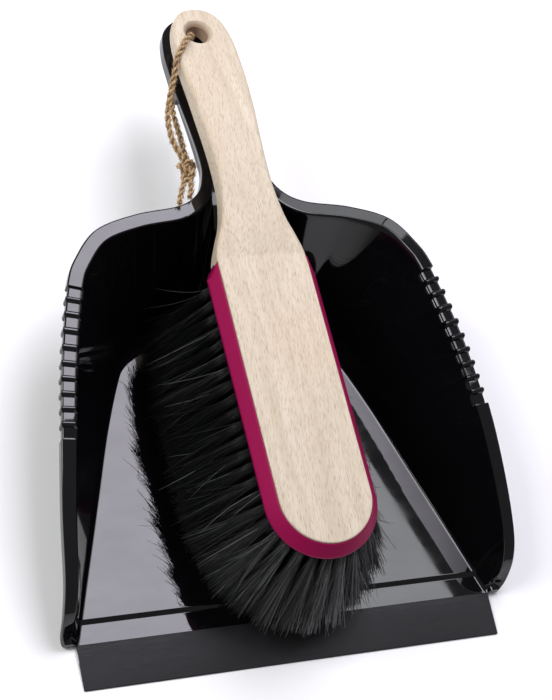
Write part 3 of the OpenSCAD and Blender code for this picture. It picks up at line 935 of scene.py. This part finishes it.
def row_spots(radius):
    """x, y and outward angle of each tuft on a row that follows the plate's outline."""
    side = ROW_END - NOSE_Y
    total = 2 * side + math.pi * radius
    count = int(total // TUFT_PITCH)
    spots = []
    for s in np.linspace(0, total, count + 1):
        if s < side:
            spots.append((radius, ROW_END - s, 0.0))
        elif s > side + math.pi * radius:
            spots.append((-radius, NOSE_Y + (s - side - math.pi * radius), math.pi))
        else:
            w = (s - side) / radius
            spots.append((radius * math.cos(w), NOSE_Y - radius * math.sin(w), -w))
    return spots


def grow(name, spots, height, lean_deg, strands, thick, node_name, droop=1.6):
    """Every tuft's strands as fine three-sided tubes, fanning out and bending a little."""
    x, y, heading = np.array(spots, float).T
    count = len(x)
    k = count * strands
    tuft = np.repeat(np.arange(count), strands)
    # the rear tufts lean out less, and the nose is trimmed shorter
    lean = math.radians(lean_deg) * (1 - 0.28 * smoothstep(y, 30, 100))
    lean = lean + rng.normal(0, 0.022, count)
    turn = heading + rng.normal(0, 0.03, count)
    out = np.stack([np.cos(turn), np.sin(turn), np.zeros(count)], -1)
    axis = out * np.sin(lean)[:, None] - (0, 0, 1) * np.cos(lean)[:, None]
    out, axis = unit(out)[tuft], axis[tuft]
    side = unit(np.cross(axis, out))
    over = np.cross(side, axis)
    r = TUFT_R * np.sqrt(rng.uniform(0, 1, k))
    a = rng.uniform(0, 2 * np.pi, k)
    spread = 1 + 2.0 * rng.uniform(0.35, 1.25, k)
    trimmed = (0.985 - 0.085 * smoothstep(-y, 6, 24))[tuft]
    length = BRISTLE_LEN * trimmed * (1 + rng.normal(0, 0.014, k))
    stray = rng.uniform(0, 1, k) < STRAY_SHARE
    length = np.where(stray, length * rng.uniform(0.8, 1.0, k), length)
    wild_a = rng.normal(0, 2.6, k) * (1 + 1.4 * stray)
    wild_o = rng.normal(0, 2.2, k) * (1 + 1.6 * stray)
    bend = rng.normal(0, 0.9, k) * (1 + 2 * stray)
    root = np.stack([x, y, np.full(count, float(height))], -1)[tuft]
    path = np.empty((k, STRAND_STEPS, 3))
    for s in range(STRAND_STEPS):
        f = s / (STRAND_STEPS - 1)
        wide = 1 + (spread - 1) * f**1.1
        o = r * np.cos(a) * wide + wild_o * f**1.5 + bend * math.sin(math.pi * f)
        w = r * np.sin(a) * wide + wild_a * f**1.5
        along = -DEPTH_IN_BLOCK + (length + DEPTH_IN_BLOCK) * f
        point = root + axis * along[:, None] + over * o[:, None] + side * w[:, None]
        path[:, s] = point + out * (droop * f**2)
    ahead = unit(path[:, 1:] - path[:, :-1])
    ahead = np.concatenate([ahead, ahead[:, -1:]], 1)
    first = unit(np.cross(ahead, np.array((0.31, 0.87, 0.22))))
    second = np.cross(ahead, first)
    half = thick / 2 * np.array(STRAND_TAPER)[None, :, None]
    sides = []
    for c in range(3):
        w = c * 2 * np.pi / 3
        sides.append(path + (first * math.cos(w) + second * math.sin(w)) * half)
    verts = np.stack(sides, 2).reshape(-1, 3)
    per = STRAND_STEPS * 3
    base = np.arange(k)[:, None] * per
    quads = (ring_faces(STRAND_STEPS, 3)[None] + base[:, :, None]).reshape(-1, 4)
    caps = np.concatenate([base + (2, 1, 0), base + (per - 3, per - 2, per - 1)])
    obj = make_mesh(name, from_brush(verts), [quads, caps], BRISTLE)
    tone = np.clip(rng.beta(1.6, 3.6, k) + 0.35 * stray, 0, 1)
    # painted light: strands at the nose are lighter and those along the sides darker, on top of each
    # tuft's random tone
    nose_painted_light = 0.44 * smoothstep(-y, 0, 24) - 0.10
    tuft_tone_and_light = (nose_painted_light + np.clip(rng.normal(0, 0.07, count), -0.15, 0.2))[tuft]
    tint(obj, np.repeat(np.clip(tone + tuft_tone_and_light, 0, 1), per))
    place(obj, "brush", "bristle", node_name)


def add_bristles():
    """The rows, each in a few pieces, and the centre row with gaps at the screws."""
    for row, radius, height, lean, strands, thick, pieces in ROWS:
        spots = row_spots(radius)
        share = math.ceil(len(spots) / pieces)
        for g in range(pieces):
            part = spots[g * share : (g + 1) * share]
            grow(f"bristles_{row}_{g + 1}", part, height, lean, strands, thick, f"tufts_{row}")
    ys = np.arange(NOSE_Y, ROW_END + 0.1, TUFT_PITCH)
    ys = [y for y in ys if min(abs(y - screw) for screw in SCREW_Y) > SCREW_CLEAR]
    centre = [(0.0, y, 0.0) for y in ys]
    grow("bristles_centre", centre, -BLOCK_T, 0, 60, 0.34, "tufts_centre", droop=0.0)


add_pan()
add_lip()
add_handle()
add_block()
add_bristles()

# ---------------------------------------------------------------- kept CAD pieces, in steel
for name in ("block_screws", "anchors_outer", "anchors_second", "anchors_third", "anchors_centre"):
    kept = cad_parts[name]
    kept = bpy.data.objects[kept] if isinstance(kept, str) else kept
    kept.data.materials.clear()
    kept.data.materials.append(STEEL)


# ---------------------------------------------------------------- floor and light
FLOOR_HALF, FLOOR_AT = 4.0, -0.0002
LAMP_Z = 1.05
# lamp colours
COOL, LILAC, WHITE = (0.97, 0.98, 1.03), (0.99, 0.955, 1.07), (1, 1, 1)


def add_floor():
    mat, tree, shader = new_material("pale_floor")
    speck = noise(tree, mapped(tree, (0.004, 0.004, 0.004)), detail=2)
    base = ramp(tree, speck, [(0.3, 0.86), (0.7, 0.9)])
    feed(tree, shader, {"Base Color": base, "Roughness": 0.9, "Specular IOR Level": 0.1})
    s, z = FLOOR_HALF, FLOOR_AT
    corners = [(-s, -s, z), (s, -s, z), (s, s, z), (-s, s, z)]
    make_mesh("floor", corners, [[(0, 1, 2, 3)]], mat)


def add_light(name, centre, aim, size, radiance, colour, spin=0):
    """A softbox of a width and height in metres that faces aim, spun about its own axis."""
    data = bpy.data.lights.new(name, "AREA")
    data.shape = "RECTANGLE"
    data.size, data.size_y = size
    data.energy = radiance * math.pi * size[0] * size[1]
    data.color = colour
    lamp = bpy.data.objects.new(name, data)
    face = (Vector(centre) - Vector(aim)).to_track_quat("Z", "Y").to_matrix().to_4x4()
    lamp.matrix_world = Matrix.Translation(centre) @ face @ turn_about("Z", spin)
    bpy.context.scene.collection.objects.link(lamp)


def add_world(strength):
    world = bpy.data.worlds.new("studio")
    world.use_nodes = True
    back = world.node_tree.nodes["Background"]
    back.inputs["Color"].default_value = (0.97, 0.98, 1.0, 1)
    back.inputs["Strength"].default_value = strength
    bpy.context.scene.world = world


add_floor()
# these face straight down: name | x, y | width, height | radiance | colour | spin in degrees
for name, (x, y), size, radiance, colour, spin in (
    ("softbox_left", (0.185, 0.39), (0.45, 0.82), 8.3, LILAC, 0),
    ("softbox_right", (0.55, 0.22), (0.17, 0.50), 5.3, COOL, 18),
    ("softbox_back", (0.62, 0.675), (0.32, 0.25), 3.0, COOL, 0),
    ("softbox_far", (0.95, 0.46), (0.32, 0.70), 3.5, COOL, 0),
):
    add_light(name, (x, y, LAMP_Z), (x, y, 0), size, radiance, colour, spin)
add_light("fill_left", (-1.25, 0.25, 1.2), (0, 0, 0.05), (0.8, 0.9), 9.2, WHITE)
add_world(0.24)

view = bpy.context.scene.view_settings
view.view_transform = "Standard"
view.look = "None"
view.exposure = 0.0
